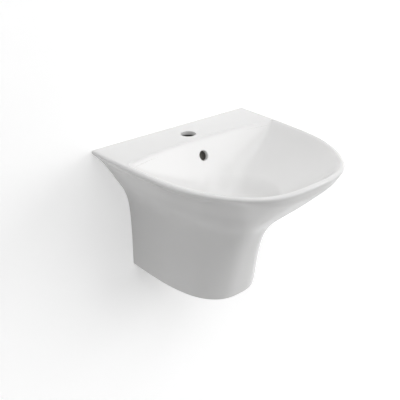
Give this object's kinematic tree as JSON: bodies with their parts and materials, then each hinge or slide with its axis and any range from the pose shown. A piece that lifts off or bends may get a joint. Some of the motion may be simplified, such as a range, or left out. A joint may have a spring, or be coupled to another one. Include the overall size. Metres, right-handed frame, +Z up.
{
  "type": "wall hung basin",
  "caption": "Wall hung washbasin with integral half pedestal, tap hole, overflow, push-button waste, hidden trap and wall fixings.",
  "frame": {"origin": "on the wall plane, midway between the two wall fixings", "axes": "+Y into the wall, +Z up, +X to the right seen from the front; the basin stands out along -Y"},
  "size_m": [0.449, 0.4965, 0.3435],
  "materials": {
    "ceramic": "white gloss glaze",
    "chrome": "polished",
    "brass": "machined",
    "rubber": "matte black",
    "white_plastic": "moulded white",
    "nylon": "moulded grey",
    "steel": "zinc plated",
    "spring_steel": "drawn wire"
  },
  "bodies": {
    "basin": {"basin_body": "ceramic", "waste_body": "chrome", "flange_seal": "rubber", "cone_washer": "rubber", "slip_washer": "nylon", "waste_backnut": "brass", "plug_cartridge": "brass", "plug_spring": "spring_steel", "trap_inlet_nut": "white_plastic", "trap_inlet_washer": "rubber", "trap_bend": "white_plastic", "trap_union_nut": "white_plastic", "trap_union_washer": "rubber", "outlet_arm": "white_plastic", "fixing_bolts": "steel", "wall_plugs": "nylon", "fixing_bushes": "nylon", "fixing_washers": "steel", "fixing_nuts": "steel"},
    "plug": {"plug_cap": "chrome", "plug_seal": "rubber", "plug_spindle": "brass"},
    "cleanout_ring": {"cleanout_seal": "rubber"},
    "cleanout": {"cleanout_cap": "white_plastic"},
    "rosette": {"wall_rosette": "chrome"}
  },
  "joints": [
    {"name": "plug_press", "type": "slide", "parent": "basin", "child": "plug", "axis": [0, 0, 1], "range_m": [-0.009, 0], "stiffness_N_per_m": 1500, "springref_m": 0.004, "deforming": ["plug_spring"]},
    {"name": "cleanout_drop", "type": "slide", "parent": "basin", "child": "cleanout_ring", "axis": [0, 0, -1], "range_m": [0, 0.009]},
    {"name": "cleanout_turn", "type": "hinge", "parent": "cleanout_ring", "child": "cleanout", "pos_m": [0, -0.185, -0.219], "axis": [0, 0, -1], "range_deg": [0, 1080]},
    {"name": "rosette_slide", "type": "slide", "parent": "basin", "child": "rosette", "axis": [0, 1, 0], "range_m": [-0.06, 0]}
  ],
  "couplings": [
    {"joint": "cleanout_drop", "follows": "cleanout_turn", "m_per_rad": 0.00047746}
  ]
}
